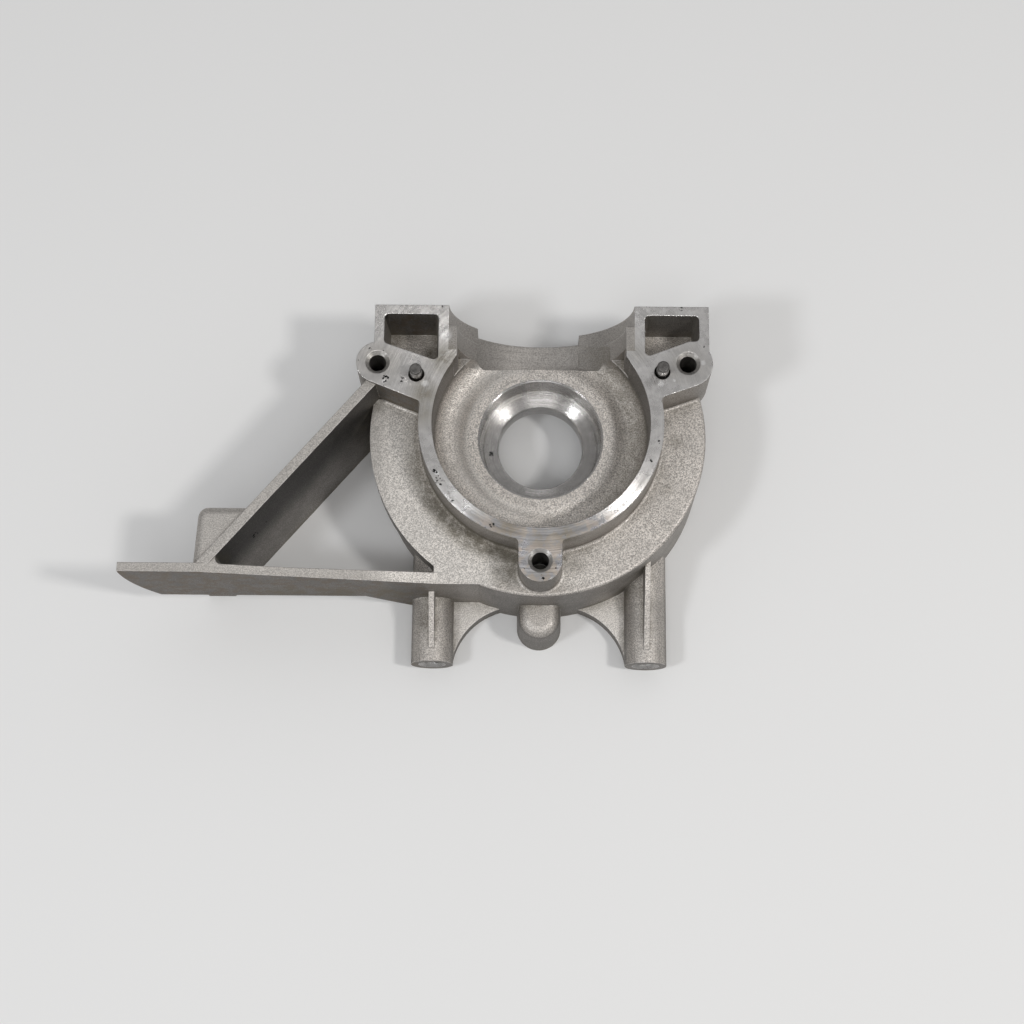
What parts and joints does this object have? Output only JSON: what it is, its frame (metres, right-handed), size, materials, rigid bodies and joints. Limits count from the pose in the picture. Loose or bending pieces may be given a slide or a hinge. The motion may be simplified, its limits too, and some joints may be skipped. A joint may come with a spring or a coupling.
{
  "type": "crankcase",
  "caption": "Half of a small engine crankcase casting: round chamber with bearing and seal seats, cylinder face, feet, side bracket and dowelled parting face.",
  "frame": {"origin": "on the crank axis, where the wall of the bearing seat starts", "axes": "+Z along the crank axis, out of the bearing seat and through the parting face; +Y out of the cylinder face; +X away from the side bracket"},
  "size_m": [0.1877, 0.1107, 0.052],
  "materials": {
    "casting": "tumbled casting skin, machined faces and bores",
    "pin_steel": "ground"
  },
  "bodies": {
    "root": {"crankcase_half": "casting", "dowel_pin_left": "pin_steel", "dowel_pin_right": "pin_steel"}
  },
  "joints": []
}
